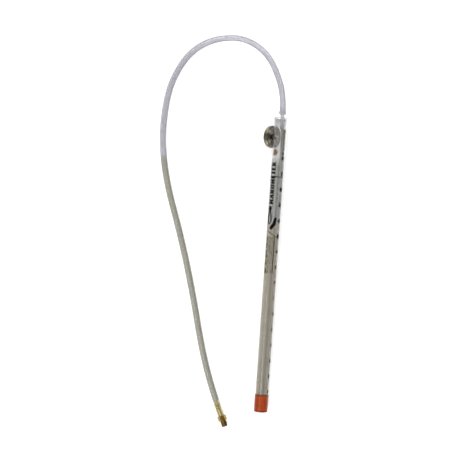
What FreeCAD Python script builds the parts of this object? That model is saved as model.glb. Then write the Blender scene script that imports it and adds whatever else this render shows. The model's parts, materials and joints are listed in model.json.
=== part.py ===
import FreeCAD, Part
import math
import os

# A tube manometer: a clear tube that holds water, with a small measuring tube inside it, a hanging magnet at
# its back and a free hose with a brass fitting. It lies on a surface, held up at its top end by the magnet.
# Millimetres. Each piece is first made in the gauge's own frame: the tube's axis is the Y axis, Y is 0 at the
# bottom cap's end and LENGTH at the top plug's top face, and Z points away from the surface. Pieces that are
# round about an axis of their own are made about Y, then placed.

V = FreeCAD.Vector

# How far a cutting shape reaches past what it cuts
CLEAR = 1.0

# Tube
LENGTH = 477.0
TUBE_R = 10.3
TUBE_WALL = 1.25
TUBE_BORE_R = TUBE_R - TUBE_WALL

# Measuring tube, against the right-hand side of the bore
MEASURE_R = 3.175
MEASURE_BORE_R = 2.15
MEASURE_X = TUBE_BORE_R - MEASURE_R - 0.05
MEASURE_FOOT = 9.0
MEASURE_FOOT_RISE = 6.0
BEND_LENGTH = 12.0
BEND_FROM_PLUG = 3.5

# Top plug
FLANGE_R = 10.5
FLANGE_THICK = 3.0
FLANGE_ROUND = 1.0
FLANGE_CROWN = 0.8
PLUG_R = TUBE_BORE_R - 0.02
PLUG_DEPTH = 5.0
SOCKET_DEPTH = 4.0
SPIGOT_X = 2.4
BOSS_R = 3.75
BOSS_RISE = 4.2
BOSS_ROUND = 0.5
SPIGOT_R = 3.175
SPIGOT_LENGTH = 10.0
SPIGOT_TIP_R = 2.875
SPIGOT_BARB_R = 3.75
SPIGOT_BARB_FROM_SHOULDER = 2.0
SPIGOT_BARB_ROUND = 0.2

# Bottom cap
CAP_R = 11.05
CAP_BORE_R = 10.35
CAP_LENGTH = 29.0
CAP_FLOOR = 1.8
CAP_CROWN = 0.9
CAP_CROWN_R = 6.5
CAP_CROWN_ROUND = 8.0
CAP_END_ROUND = 1.5
CAP_LIP_RISE = 0.2
CAP_LIP_LENGTH = 1.6
CAP_TUBE_GAP = 0.3

# Scale label, a film that leaves the back of the tube bare
LABEL_THICK = 0.15
LABEL_FROM_TOP = 17.0
LABEL_TO_TOP = 432.0
LABEL_LEFT_DEG = -105.0
LABEL_RIGHT_DEG = 150.0

# Back fittings: each axis leaves the tube at the back, leaning to the left of straight down
MAGNET_LEAN_DEG = 49.0
MAGNET_FROM_TOP = 32.8
VENT_LEAN_DEG = 33.0
VENT_FROM_TOP = 57.2

# Hanging magnet, heights counted from the tube's axis
SPACER_R = 4.3
SPACER_THICK = 1.5
CUP_R = 18.25
CUP_DEPTH = 6.8
CUP_WALL = 1.5
CUP_BACK_ROUND = 1.4
CUP_RIM_ROUND = 0.4
CUP_GROOVE_R = 13.2
CUP_GROOVE_WIDTH = 1.4
CUP_GROOVE_DEPTH = 0.4
CUP_BACK = TUBE_R + SPACER_THICK
CUP_FACE = CUP_BACK + CUP_DEPTH
RING_GAP = 0.2
RING_HOLE_R = 6.0
RING_RECESS = 0.2
RING_ROUND = 0.5
SCREW_R = 2.0
SCREW_HOLE_R = 2.2
SCREW_HEAD_R = 4.0
SCREW_HEAD_HEIGHT = 2.6
SCREW_HEAD_ROUND = 1.4
SLOT_WIDTH = 1.0
SLOT_DEPTH = 1.2
NUT_FLATS = 7.0
NUT_THICK = 2.6
NUT_SEAT = 8.15
SCREW_TIP = 4.6

# Vent plug
VENT_HOLE_R = 3.3
VENT_STEM_R = 3.0
VENT_TIP_R = 2.7
VENT_STEM_LENGTH = 4.8
VENT_HEAD_R = 5.2
VENT_HEAD_THICK = 1.1
VENT_HEAD_ROUND = 0.7
VENT_HEAD_GAP = 0.3
VENT_HOLLOW_R = 1.6

# Hose and its route in the finished frame: off the spigot, down to the surface, round and back
HOSE_R = 5.1
HOSE_BORE_R = 3.175
HOSE_ROUTE = [
    (9.7, 235.52, 27.05),
    (9.7, 261.5, 27.92),
    (-0.5, 296.8, 27.2),
    (-22.0, 333.7, 23.0),
    (-60.8, 355.8, 16.5),
    (-109.7, 350.5, 10.5),
    (-147.2, 325.8, 6.8),
    (-171.2, 281.1, 5.4),
    (-179.8, 237.7, 5.15),
    (-181.2, 178.9, 5.15),
    (-168.3, 110.7, 5.15),
    (-140.8, 31.2, 5.15),
    (-115.3, -59.4, 5.15),
    (-95.0, -147.0, 5.15),
    (-73.7, -213.8, 5.15),
    (-55.5, -255.4, 6.36),
]
RUN_SHARE = 0.45

# Brass fitting: barbed stem, hexagon and male thread, along its own axis
HEX_FLATS = 12.7
HEX_LENGTH = 8.0
HEX_CHAMFER_R = 6.7
HEX_CHAMFER = 0.9
THREAD_R = 5.14
THREAD_LENGTH = 10.5
THREAD_CHAMFER = 0.8
FITTING_BORE_R = 2.3
STEM_LENGTH = 27.4
STEM_ROOT_R = 2.95
BARB_R = 3.35
BARB_PITCH = 5.0
BARB_COUNT = 4


def rounded_face(corners):
    """A flat face in the XY plane. Each corner is x, y and the radius that rounds it."""
    points = [V(x, y, 0) for x, y, _ in corners]
    edges = []
    starts = []
    ends = []
    for i, (_, _, radius) in enumerate(corners):
        here = points[i]
        back = (points[i - 1] - here).normalize()
        ahead = (points[(i + 1) % len(points)] - here).normalize()
        if radius == 0:
            starts.append(here)
            ends.append(here)
            continue
        half = back.getAngle(ahead) / 2
        reach = radius / math.tan(half)
        middle = (back + ahead).normalize() * (radius / math.sin(half) - radius)
        starts.append(here + back * reach)
        ends.append(here + ahead * reach)
        edges.append(Part.Arc(starts[i], here + middle, ends[i]).toShape())
    for i, end in enumerate(ends):
        start = starts[(i + 1) % len(starts)]
        edges.append(Part.LineSegment(end, start).toShape())
    return Part.Face(Part.Wire(Part.__sortEdges__(edges)))


def turned(corners, degrees=360.0):
    """A solid turned about the Y axis. Each corner is its radius, its Y and its rounding."""
    return rounded_face(corners).revolve(V(0, 0, 0), V(0, 1, 0), degrees)


def rod(radius, low, high):
    """A cylinder on the Y axis between two heights."""
    return Part.makeCylinder(radius, high - low, V(0, low, 0), V(0, 1, 0))


def pipe_ring(radius, bore, low, high):
    """A plain tube on the Y axis between two heights."""
    return rod(radius, low, high).cut(rod(bore, low, high))


def hexagon(flats, low, high):
    """A hexagonal bar on the Y axis, with flats above and below."""
    reach = flats / math.sqrt(3)
    corners = []
    for i in range(7):
        angle = math.radians(60 * i)
        corners.append(V(reach * math.cos(angle), low, reach * math.sin(angle)))
    return Part.Face(Part.makePolygon(corners)).extrude(V(0, high - low, 0))


def bent_path(points, report=False):
    """Straight runs joined by tangent arcs, each as large as its two runs allow."""
    points = [V(*p) for p in points]
    edges = []
    start = points[0]
    for back, here, ahead in zip(points, points[1:], points[2:]):
        before = back - here
        after = ahead - here
        half_turn = (math.pi - before.getAngle(after)) / 2
        reach = RUN_SHARE * min(before.Length, after.Length)
        radius = reach / math.tan(half_turn)
        into = here + before.normalize() * reach
        out = here + after.normalize() * reach
        inward = (before + after).normalize() * (radius / math.cos(half_turn) - radius)
        edges.append(Part.LineSegment(start, into).toShape())
        edges.append(Part.Arc(into, here + inward, out).toShape())
        start = out
        if report:
            print(f"turn {math.degrees(2 * half_turn):5.1f} degrees, radius {radius:6.1f} mm")
    edges.append(Part.LineSegment(start, points[-1]).toShape())
    return Part.Wire(edges)


def hollow_pipe(path, radius, bore):
    """A tube of constant section along a path."""
    start = path.Edges[0].Vertexes[0].Point
    heading = path.Edges[0].tangentAt(path.Edges[0].FirstParameter)
    section = []
    for size in (radius, bore):
        circle = Part.Circle(start, heading, size).toShape()
        section.append(path.makePipeShell([Part.Wire(circle)], True, False))
    return section[0].cut(section[1])


def at_back(shape, lean, from_top):
    """Places a piece made about Y so that its axis leaves the tube at the back."""
    angle = math.radians(lean)
    outward = V(-math.sin(angle), 0, -math.cos(angle))
    turn = FreeCAD.Rotation(V(0, 1, 0), outward)
    placed = shape.copy()
    placed.Placement = FreeCAD.Placement(V(0, LENGTH - from_top, 0), turn).multiply(placed.Placement)
    return placed


def outer_tube():
    tube = pipe_ring(TUBE_R, TUBE_BORE_R, CAP_FLOOR + CAP_TUBE_GAP, LENGTH - FLANGE_THICK)
    screw_hole = at_back(rod(SCREW_HOLE_R, 0, 2 * TUBE_R), MAGNET_LEAN_DEG, MAGNET_FROM_TOP)
    vent_hole = at_back(rod(VENT_HOLE_R, 0, 2 * TUBE_R), VENT_LEAN_DEG, VENT_FROM_TOP)
    return tube.cut(screw_hole).cut(vent_hole)


def scale_label():
    low = LENGTH - LABEL_TO_TOP
    high = LENGTH - LABEL_FROM_TOP
    inner = TUBE_R
    outer = TUBE_R + LABEL_THICK
    film = turned(
        [(inner, low, 0), (outer, low, 0), (outer, high, 0), (inner, high, 0)],
        LABEL_RIGHT_DEG - LABEL_LEFT_DEG,
    )
    film.rotate(V(0, 0, 0), V(0, 1, 0), LABEL_LEFT_DEG - 90.0)
    return film


def measuring_tube():
    plug_foot = LENGTH - FLANGE_THICK - PLUG_DEPTH
    bend_top = plug_foot - BEND_FROM_PLUG
    path = bent_path([
        (MEASURE_X, MEASURE_FOOT, 0),
        (MEASURE_X, bend_top - BEND_LENGTH, 0),
        (SPIGOT_X, bend_top, 0),
        (SPIGOT_X, plug_foot + SOCKET_DEPTH, 0),
    ])
    tube = hollow_pipe(path, MEASURE_R, MEASURE_BORE_R)
    width = 2 * MEASURE_R
    left = MEASURE_X - MEASURE_R
    right = MEASURE_X + MEASURE_R + CLEAR
    slant = Part.Face(Part.makePolygon([
        V(left, MEASURE_FOOT - CLEAR, -width),
        V(right, MEASURE_FOOT - CLEAR, -width),
        V(right, MEASURE_FOOT, -width),
        V(left, MEASURE_FOOT + MEASURE_FOOT_RISE, -width),
        V(left, MEASURE_FOOT - CLEAR, -width),
    ]))
    return tube.cut(slant.extrude(V(0, 0, 2 * width)))


def top_plug():
    seat = LENGTH - FLANGE_THICK
    body = turned([
        (0, seat - PLUG_DEPTH, 0),
        (PLUG_R, seat - PLUG_DEPTH, 0),
        (PLUG_R, seat, 0),
        (FLANGE_R, seat, 0),
        (FLANGE_R, LENGTH - FLANGE_CROWN, FLANGE_ROUND),
        (0, LENGTH, 0),
    ])
    shoulder = LENGTH + BOSS_RISE
    tip = shoulder + SPIGOT_LENGTH
    barb = shoulder + SPIGOT_BARB_FROM_SHOULDER
    spigot = turned([
        (0, seat, 0),
        (BOSS_R, seat, 0),
        (BOSS_R, shoulder, BOSS_ROUND),
        (SPIGOT_R, shoulder, 0),
        (SPIGOT_R, barb, 0),
        (SPIGOT_BARB_R, barb, SPIGOT_BARB_ROUND),
        (SPIGOT_TIP_R, tip, 0),
        (0, tip, 0),
    ])
    offset = V(SPIGOT_X, 0, 0)
    spigot.translate(offset)
    bore = rod(MEASURE_BORE_R, seat - PLUG_DEPTH, tip)
    bore.translate(offset)
    socket = rod(MEASURE_R, seat - PLUG_DEPTH, seat - PLUG_DEPTH + SOCKET_DEPTH)
    socket.translate(offset)
    return body.fuse(spigot).cut(bore).cut(socket).removeSplitter()


def bottom_cap():
    return turned([
        (0, 0, 0),
        (CAP_CROWN_R, 0, CAP_CROWN_ROUND),
        (CAP_R, CAP_CROWN, CAP_END_ROUND),
        (CAP_R, CAP_LENGTH - CAP_LIP_LENGTH, 0),
        (CAP_R + CAP_LIP_RISE, CAP_LENGTH - CAP_LIP_LENGTH + CAP_LIP_RISE, 0),
        (CAP_R + CAP_LIP_RISE, CAP_LENGTH, CAP_LIP_RISE),
        (CAP_BORE_R, CAP_LENGTH, 0),
        (CAP_BORE_R, CAP_FLOOR, 0),
        (0, CAP_FLOOR, 0),
    ])


def magnet_spacer():
    spacer = rod(SPACER_R, TUBE_R - CLEAR, CUP_BACK).cut(rod(SCREW_HOLE_R, 0, CUP_BACK))
    return at_back(spacer, MAGNET_LEAN_DEG, MAGNET_FROM_TOP).cut(rod(TUBE_R, 0, LENGTH))


def magnet_cup():
    well = CUP_BACK + CUP_WALL
    groove = CUP_GROOVE_R + CUP_GROOVE_WIDTH
    cup = turned([
        (SCREW_HOLE_R, CUP_BACK, 0),
        (CUP_GROOVE_R, CUP_BACK, 0),
        (CUP_GROOVE_R + CUP_GROOVE_DEPTH, CUP_BACK + CUP_GROOVE_DEPTH, 0),
        (groove, CUP_BACK + CUP_GROOVE_DEPTH, 0),
        (groove + CUP_GROOVE_DEPTH, CUP_BACK, 0),
        (CUP_R, CUP_BACK, CUP_BACK_ROUND),
        (CUP_R, CUP_FACE, CUP_RIM_ROUND),
        (CUP_R - CUP_WALL, CUP_FACE, 0),
        (CUP_R - CUP_WALL, well, 0),
        (SCREW_HOLE_R, well, 0),
    ])
    return at_back(cup, MAGNET_LEAN_DEG, MAGNET_FROM_TOP)


def magnet_ring():
    outer = CUP_R - CUP_WALL - RING_GAP
    low = CUP_BACK + CUP_WALL
    high = CUP_FACE - RING_RECESS
    ring = turned([
        (RING_HOLE_R, low, 0),
        (outer, low, 0),
        (outer, high, RING_ROUND),
        (RING_HOLE_R, high, RING_ROUND),
    ])
    return at_back(ring, MAGNET_LEAN_DEG, MAGNET_FROM_TOP)


def magnet_screw():
    seat = CUP_BACK + CUP_WALL
    top = seat + SCREW_HEAD_HEIGHT
    screw = turned([
        (0, SCREW_TIP, 0),
        (SCREW_R, SCREW_TIP, 0),
        (SCREW_R, seat, 0),
        (SCREW_HEAD_R, seat, 0),
        (SCREW_HEAD_R, top, SCREW_HEAD_ROUND),
        (0, top, 0),
    ])
    for turn in (0, 90):
        slot = Part.makeBox(SCREW_HEAD_R, SLOT_DEPTH, SLOT_WIDTH)
        slot.translate(V(-SCREW_HEAD_R / 2, top - SLOT_DEPTH, -SLOT_WIDTH / 2))
        slot.rotate(V(0, 0, 0), V(0, 1, 0), turn)
        screw = screw.cut(slot)
    return at_back(screw, MAGNET_LEAN_DEG, MAGNET_FROM_TOP)


def magnet_nut():
    nut = hexagon(NUT_FLATS, NUT_SEAT - NUT_THICK, NUT_SEAT)
    return at_back(nut.cut(rod(SCREW_R, 0, TUBE_R)), MAGNET_LEAN_DEG, MAGNET_FROM_TOP)


def vent_plug():
    seat = TUBE_R + VENT_HEAD_GAP
    top = seat + VENT_HEAD_THICK
    tip = seat - VENT_STEM_LENGTH
    plug = turned([
        (0, top, 0),
        (VENT_HEAD_R, top, VENT_HEAD_ROUND),
        (VENT_HEAD_R, seat, 0),
        (VENT_STEM_R, seat, 0),
        (VENT_STEM_R, seat - VENT_STEM_LENGTH / 2, 0),
        (VENT_TIP_R, tip, 0),
        (VENT_HOLLOW_R, tip, 0),
        (VENT_HOLLOW_R, seat, 0),
        (0, seat, 0),
    ])
    return at_back(plug, VENT_LEAN_DEG, VENT_FROM_TOP)


def hose_fitting():
    """The fitting about Y, with the hose's end at Y 0 and the thread ahead of it."""
    stem = [(0, -STEM_LENGTH, 0), (STEM_ROOT_R, -STEM_LENGTH, 0)]
    for i in range(BARB_COUNT):
        crest = -STEM_LENGTH + (i + 1) * BARB_PITCH
        stem += [(BARB_R, crest, 0), (STEM_ROOT_R, crest, 0)]
    stem += [(STEM_ROOT_R, 0, 0), (0, 0, 0)]
    corner = HEX_FLATS / math.sqrt(3)
    bevels = turned([
        (0, 0, 0),
        (HEX_CHAMFER_R, 0, 0),
        (corner, HEX_CHAMFER, 0),
        (corner, HEX_LENGTH - HEX_CHAMFER, 0),
        (HEX_CHAMFER_R, HEX_LENGTH, 0),
        (0, HEX_LENGTH, 0),
    ])
    tip = HEX_LENGTH + THREAD_LENGTH
    thread = turned([
        (0, HEX_LENGTH, 0),
        (THREAD_R, HEX_LENGTH, 0),
        (THREAD_R, tip - THREAD_CHAMFER, 0),
        (THREAD_R - THREAD_CHAMFER, tip, 0),
        (0, tip, 0),
    ])
    nut = hexagon(HEX_FLATS, 0, HEX_LENGTH).common(bevels)
    return turned(stem).fuse(nut).fuse(thread).cut(rod(FITTING_BORE_R, -STEM_LENGTH, tip))


def on_hose_end(shape):
    """Places the fitting on the last point of the hose, with a flat of its hexagon below."""
    end = V(*HOSE_ROUTE[-1])
    heading = (end - V(*HOSE_ROUTE[-2])).normalize()
    turn = FreeCAD.Rotation(V(0, 0, 0), heading, V(0, 0, 1), "YZX")
    placed = shape.copy()
    placed.Placement = FreeCAD.Placement(end, turn)
    return placed


def hose():
    path = bent_path(HOSE_ROUTE, report=True)
    tube = hollow_pipe(path, HOSE_R, HOSE_BORE_R)
    section = math.pi * (HOSE_R ** 2 - HOSE_BORE_R ** 2)
    print(f"hose length {path.Length:.1f} mm, volume {tube.Volume:.0f} mm3,")
    print(f"section times length {section * path.Length:.0f} mm3")
    return tube


def box_of(shape):
    return shape.optimalBoundingBox(False, False)


def pitched(shape, degrees):
    lifted = shape.copy()
    lifted.rotate(V(0, 0, 0), V(1, 0, 0), degrees)
    return lifted


def resting_pitch(cap, cup):
    """The angle at which the cap's end and the magnet's rim touch one level surface."""
    low = 0.0
    high = 6.0
    for _ in range(24):
        middle = (low + high) / 2
        if box_of(pitched(cap, middle)).ZMin < box_of(pitched(cup, middle)).ZMin:
            high = middle
        else:
            low = middle
    return low


def build():
    """Every piece, by name, in the finished frame."""
    rigid = {
        "outer_tube": outer_tube(),
        "scale_label": scale_label(),
        "measuring_tube": measuring_tube(),
        "top_plug": top_plug(),
        "bottom_cap": bottom_cap(),
        "vent_plug": vent_plug(),
        "magnet_cup": magnet_cup(),
        "magnet_ring": magnet_ring(),
        "magnet_spacer": magnet_spacer(),
        "magnet_screw": magnet_screw(),
        "magnet_nut": magnet_nut(),
    }
    pitch = resting_pitch(rigid["bottom_cap"], rigid["magnet_cup"])
    rigid = {name: pitched(shape, pitch) for name, shape in rigid.items()}
    box = box_of(Part.makeCompound(list(rigid.values())))
    to_origin = V(-box.Center.x, -box.Center.y, -box.ZMin)
    for shape in rigid.values():
        shape.translate(to_origin)
    shoulder = V(SPIGOT_X, LENGTH + BOSS_RISE, 0)
    shoulder = FreeCAD.Rotation(V(1, 0, 0), pitch).multVec(shoulder) + to_origin
    gap = (shoulder - V(*HOSE_ROUTE[0])).Length
    print(f"pitch {pitch:.3f} degrees, hose starts {gap:.3f} mm from the spigot's shoulder")
    rigid["hose"] = hose()
    rigid["hose_fitting"] = on_hose_end(hose_fitting())
    return rigid


def main():
    os.makedirs("parts", exist_ok=True)
    for name, shape in build().items():
        shape.exportStep(f"parts/{name}.step")


main()
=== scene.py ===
import json
import math
import random

import bmesh
import bpy
from mathutils import Matrix, Vector


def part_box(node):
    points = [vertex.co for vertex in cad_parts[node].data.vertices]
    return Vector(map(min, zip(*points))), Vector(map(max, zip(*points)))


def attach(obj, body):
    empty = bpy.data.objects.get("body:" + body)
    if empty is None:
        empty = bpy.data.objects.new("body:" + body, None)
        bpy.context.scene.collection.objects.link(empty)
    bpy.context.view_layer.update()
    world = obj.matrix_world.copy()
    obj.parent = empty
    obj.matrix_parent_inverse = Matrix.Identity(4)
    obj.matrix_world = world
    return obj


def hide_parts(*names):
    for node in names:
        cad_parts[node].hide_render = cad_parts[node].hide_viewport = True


# A tube manometer lying on a pale surface. Sizes are in millimetres unless a name ends in _M or _DEG, and
# each piece is made about its own Y axis, then placed in the frame. The tube and everything on it use the
# gauge's frame, where Y is 0 at the bottom cap's end and LENGTH at the top plug's top face, and Z points
# away from the surface. Angles on the tube are measured from its top towards the right.

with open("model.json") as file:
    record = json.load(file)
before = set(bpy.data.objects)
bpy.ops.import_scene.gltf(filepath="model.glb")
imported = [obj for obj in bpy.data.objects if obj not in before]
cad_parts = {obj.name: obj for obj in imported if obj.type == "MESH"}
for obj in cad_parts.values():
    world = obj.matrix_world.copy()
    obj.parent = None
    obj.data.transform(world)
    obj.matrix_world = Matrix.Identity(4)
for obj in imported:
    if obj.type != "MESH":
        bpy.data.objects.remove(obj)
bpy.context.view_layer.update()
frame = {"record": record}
RECORD = frame["record"]
MM = 0.001

# Tube and what is inside it
LENGTH = 477.0
TUBE_R = 10.3
BORE_R = 9.05
TUBE_FOOT = 2.1
TUBE_TOP = 474.0
MEASURE_R = 3.175
MEASURE_BORE_R = 2.15
MEASURE_X = 5.825
MEASURE_FOOT = 9.0
MEASURE_FOOT_RISE = 6.0
MEASURE_BEND = (447.5, 467.5)
MEASURE_TOP = 470.0
MEASURE_STEPS = 64
SPIGOT_X = 2.4
SLIDE_GAP = 0.02

# Printing on the label film
LABEL_Y = (45.0, 460.0)
LABEL_DEG = (-105.0, 150.0)
FILM_R = (TUBE_R + 0.03, TUBE_R + 0.12)
INK_R = (TUBE_R + 0.13, TUBE_R + 0.15)
MARK_TOP = 410.75
MARK_STEP = 25.15
MARK_COUNT = 16
MARK_THICK = 0.4
MARK_DEG = 14.0
MARK_LEAD_DEG = 17.0
NUMBER_DEG = 41.0
LABEL_TWIST_DEG = 0.8
# Letter size, drop below the line and boldness: the upper numbers are printed more heavily.
UPPER_COUNT = 6
UPPER_NUMBERS = (6.6, 2.0, 1.3)
LOWER_NUMBERS = (6.0, 1.3, 0.75)
# Distances down from the top plug's top face
SPOT_DOWN = 58.3
RING_LINE_DOWN = 96.2
SIDE_WORDS_DOWN = 54.0
BIG_WORDS_DOWN = 140.0
DROP_DOWN = 143.5
PRINT_DOWN = (193.0, 252.0)
PRINT_SEED = 7
# Each column's angle, width, shortest and longest word, and gap between words
PRINT_COLUMNS = [
    (-60.0, 2.4, 7.0, 14.0, 4.0),
    (-47.0, 1.1, 4.0, 10.0, 6.0),
    (-36.0, 0.9, 3.0, 10.0, 2.6),
    (-25.0, 0.9, 3.0, 10.0, 2.6),
    (-14.0, 0.9, 3.0, 10.0, 2.6),
    (-3.0, 0.9, 3.0, 10.0, 2.6),
    (11.0, 1.9, 8.0, 17.0, 0.9),
]

# Hose. Its end swells over the spigot's barb, and its bore closes on the fitting's stem.
HOSE_R = 5.1
HOSE_BORE_R = 3.175
HOSE_STEPS = 48
HOSE_SWELL = 0.75
HOSE_SWELL_AT = 1.8
HOSE_SWELL_SPREAD = 2.4
HOSE_GRIP = 0.15
# How dull the hose is along its middle, the painted shade along its sides, and a ring of painted shade on
# the sides of its end's swell, which clears the dullness from the swell's middle
HOSE_DULL = 0.8
HOSE_SIDE_PAINTED_SHADE = 1.05
HOSE_SHADE_RING_CLEARS = 0.4
HOSE_SHADE_RING_AT = 2.0
HOSE_SHADE_RING_SPREAD = 1.8
# The same route as its solid has: the control points of a smooth curve
HOSE_ROUTE_M = [
    (0.0097, 0.23552, 0.02705),
    (0.0097, 0.2615, 0.02792),
    (-0.0005, 0.2968, 0.0272),
    (-0.0220, 0.3337, 0.0230),
    (-0.0608, 0.3558, 0.0165),
    (-0.1097, 0.3505, 0.0105),
    (-0.1472, 0.3258, 0.0068),
    (-0.1712, 0.2811, 0.0054),
    (-0.1798, 0.2377, 0.00515),
    (-0.1812, 0.1789, 0.00515),
    (-0.1683, 0.1107, 0.00515),
    (-0.1408, 0.0312, 0.00515),
    (-0.1153, -0.0594, 0.00515),
    (-0.0950, -0.1470, 0.00515),
    (-0.0737, -0.2138, 0.00515),
    (-0.0555, -0.2554, 0.00636),
]

# Camera: straight above, far off, turned a little so that the tube leans to the right
CAMERA_AIM_M = (-0.0704, 0.0520)
CAMERA_HEIGHT_M = 6.0
CAMERA_ROLL_DEG = 3.91
VIEW_WIDTH_M = 0.7268
SENSOR_MM = 36.0
# The direction that is up in the camera's view
UP_VIEW = (-0.068, 0.998, 0)

# Light: each lamp's name, place, size and power. They stand past the tube's ends, because lamps straight
# above it would mirror as white streaks along it.
LIGHT_AIM_M = (-0.07, 0.05, 0.0)
LIGHTS = [
    ("key_light", (-0.9, 2.0, 1.9), (1.5, 1.5), 60.0),
    ("high_right_light", (1.0, 2.2, 1.7), (1.4, 1.0), 48.0),
    ("low_left_light", (-0.9, -2.0, 1.7), (1.4, 1.0), 50.0),
    ("low_right_light", (1.0, -2.0, 1.7), (1.4, 1.0), 46.0),
    ("stem_light", (-0.85, -0.72, 1.7), (1.3, 0.5), 11.0),
]
WORLD_STRENGTH = 0.45
FLOOR_HALF_M = 6.0

# Where the plastics' tints change, up the view for the hose and up the tube, and how softly they do
HOSE_TINT_M = 0.167
TUBE_TINTS_M = (0.302, 0.4145)
TINT_BLEND_M = 0.008

SHARP_DEG = 32.0


# ---------------------------------------------------------------- placing

def placed(origin, direction):
    """A place whose Y axis points along a direction and whose X axis is level."""
    y = Vector(direction).normalized()
    x = y.cross(Vector((0, 0, 1))).normalized()
    turn = Matrix((x, y, x.cross(y))).transposed().to_4x4()
    return Matrix.Translation(origin) @ turn


def middle(node):
    low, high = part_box(node)
    return (low + high) / 2


def joint_axis(name):
    joints = RECORD["behaviour"]["joints"]
    return Vector(next(j["axis"] for j in joints if j["name"] == name)).normalized()


def mount(name):
    return next(m for m in RECORD["mounts"] if m["name"] == name)


UP_TUBE = -joint_axis("cap_pull")
TUBE_MIDDLE_M = (TUBE_FOOT + TUBE_TOP) / 2 * MM
GAUGE = placed(middle("outer_tube") - UP_TUBE * TUBE_MIDDLE_M, UP_TUBE)


def camera_above():
    data = bpy.data.cameras.new("camera")
    data.sensor_width = SENSOR_MM
    data.lens = SENSOR_MM * CAMERA_HEIGHT_M / VIEW_WIDTH_M
    camera = bpy.data.objects.new("camera", data)
    camera.location = (*CAMERA_AIM_M, CAMERA_HEIGHT_M)
    camera.rotation_euler = (0, 0, math.radians(CAMERA_ROLL_DEG))
    bpy.context.scene.collection.objects.link(camera)
    bpy.context.scene.camera = camera


# ---------------------------------------------------------------- meshes

def piece(name, points, faces, material, place=Matrix(), sharp_deg=SHARP_DEG):
    """A mesh piece from points in millimetres."""
    mesh = bpy.data.meshes.new(name)
    mesh.from_pydata([Vector(p) * MM for p in points], [], faces)
    tidy = bmesh.new()
    tidy.from_mesh(mesh)
    bmesh.ops.recalc_face_normals(tidy, faces=tidy.faces)
    tidy.to_mesh(mesh)
    tidy.free()
    mesh.shade_smooth()
    mesh.set_sharp_from_angle(angle=math.radians(sharp_deg))
    mesh.materials.append(material)
    made = bpy.data.objects.new(name, mesh)
    made.matrix_world = place
    bpy.context.scene.collection.objects.link(made)
    return made


def lofted(rings, closed):
    """Points and faces of a skin over rings of equal count. A ring of one repeated point is a pole."""
    points = []
    rows = []
    for ring in rings:
        if all((Vector(p) - Vector(ring[0])).length < 1e-6 for p in ring):
            rows.append([len(points)] * len(ring))
            points.append(ring[0])
        else:
            rows.append(list(range(len(points), len(points) + len(ring))))
            points += ring
    pairs = list(zip(rows, rows[1:]))
    if closed:
        pairs.append((rows[-1], rows[0]))
    faces = []
    for low, high in pairs:
        for i in range(len(low)):
            j = (i + 1) % len(low)
            corners = list(dict.fromkeys((low[i], low[j], high[j], high[i])))
            if len(corners) > 2:
                faces.append(corners)
    return points, faces


def circle(radius, height, count=96):
    steps = [2 * math.pi * i / count for i in range(count)]
    return [(radius * math.cos(a), height, radius * math.sin(a)) for a in steps]


def rounded(corners, steps=6):
    """An outline of radius and height whose corners, given as radius, height and rounding, are rounded."""
    outline = []
    for i, (x, y, size) in enumerate(corners):
        if size == 0:
            outline.append((x, y))
            continue
        here = Vector((x, y))
        back = (Vector(corners[i - 1][:2]) - here).normalized()
        ahead = (Vector(corners[(i + 1) % len(corners)][:2]) - here).normalized()
        half = back.angle(ahead) / 2
        centre = here + (back + ahead).normalized() * (size / math.sin(half))
        first = here + back * (size / math.tan(half)) - centre
        last = here + ahead * (size / math.tan(half)) - centre
        swing = first.angle_signed(last)
        for k in range(steps + 1):
            turn = Matrix.Rotation(-swing * k / steps, 2)
            outline.append(tuple(centre + turn @ first))
    return outline


def turned(name, corners, material, place=GAUGE, closed=False, count=96, shift_x=0.0):
    """A piece turned about its Y axis."""
    rings = [circle(r, y, count) for r, y in rounded(corners)]
    rings = [[(x + shift_x, y, z) for x, y, z in ring] for ring in rings]
    points, faces = lofted(rings, closed)
    return piece(name, points, faces, material, place)


def carved(target, tools, operation="DIFFERENCE"):
    """Cuts tools out of a piece, or adds them to it, and removes them."""
    for tool in tools:
        change = target.modifiers.new("carve", "BOOLEAN")
        change.object = tool
        change.operation = operation
        change.solver = "EXACT"
    bpy.context.view_layer.update()
    seen = target.evaluated_get(bpy.context.evaluated_depsgraph_get())
    mesh = bpy.data.meshes.new_from_object(seen)
    target.modifiers.clear()
    target.data = mesh
    mesh.set_sharp_from_angle(angle=math.radians(SHARP_DEG))
    for tool in tools:
        bpy.data.objects.remove(tool)
    return target


def settled(made):
    """Moves a piece's points into the frame, and keeps its own coordinates for its material."""
    own = made.data.attributes.new("own_place", "FLOAT_VECTOR", "POINT")
    own.data.foreach_set("vector", [c for v in made.data.vertices for c in v.co])
    made.data.transform(made.matrix_world)
    made.matrix_world = Matrix()


def hung(made, body, slot, *nodes):
    """Finishes a piece: the body it moves with and the nodes it stands for. The slot is not used."""
    settled(made)
    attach(made, body)
    if nodes:
        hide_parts(*nodes)
    return made


# ---------------------------------------------------------------- materials

def shader_node(tree, kind, settings=None, **sockets):
    """A node with its settings and its inputs, where an input is a value or another node's output."""
    made = tree.nodes.new(kind)
    for key, value in (settings or {}).items():
        setattr(made, key, value)
    for key, value in sockets.items():
        socket = made.inputs[key.replace("_", " ")]
        if isinstance(value, bpy.types.NodeSocket):
            tree.links.new(value, socket)
        else:
            socket.default_value = value
    return made


def new_material(name, **sockets):
    """A material with one Principled shader."""
    made = bpy.data.materials.new(name)
    made.use_nodes = True
    shader = made.node_tree.nodes["Principled BSDF"]
    for key, value in sockets.items():
        shader.inputs[key.replace("_", " ")].default_value = value
    return made, made.node_tree, shader


def own_coordinates(tree):
    """A piece's own coordinates in metres, with Y along its axis."""
    return shader_node(tree, "ShaderNodeAttribute", {"attribute_name": "own_place"}).outputs["Vector"]


def own_place(tree, stretch=(1, 1, 1)):
    """A piece's own coordinates, stretched along each axis."""
    place = own_coordinates(tree)
    return shader_node(tree, "ShaderNodeMapping", Vector=place, Scale=stretch).outputs["Vector"]


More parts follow.
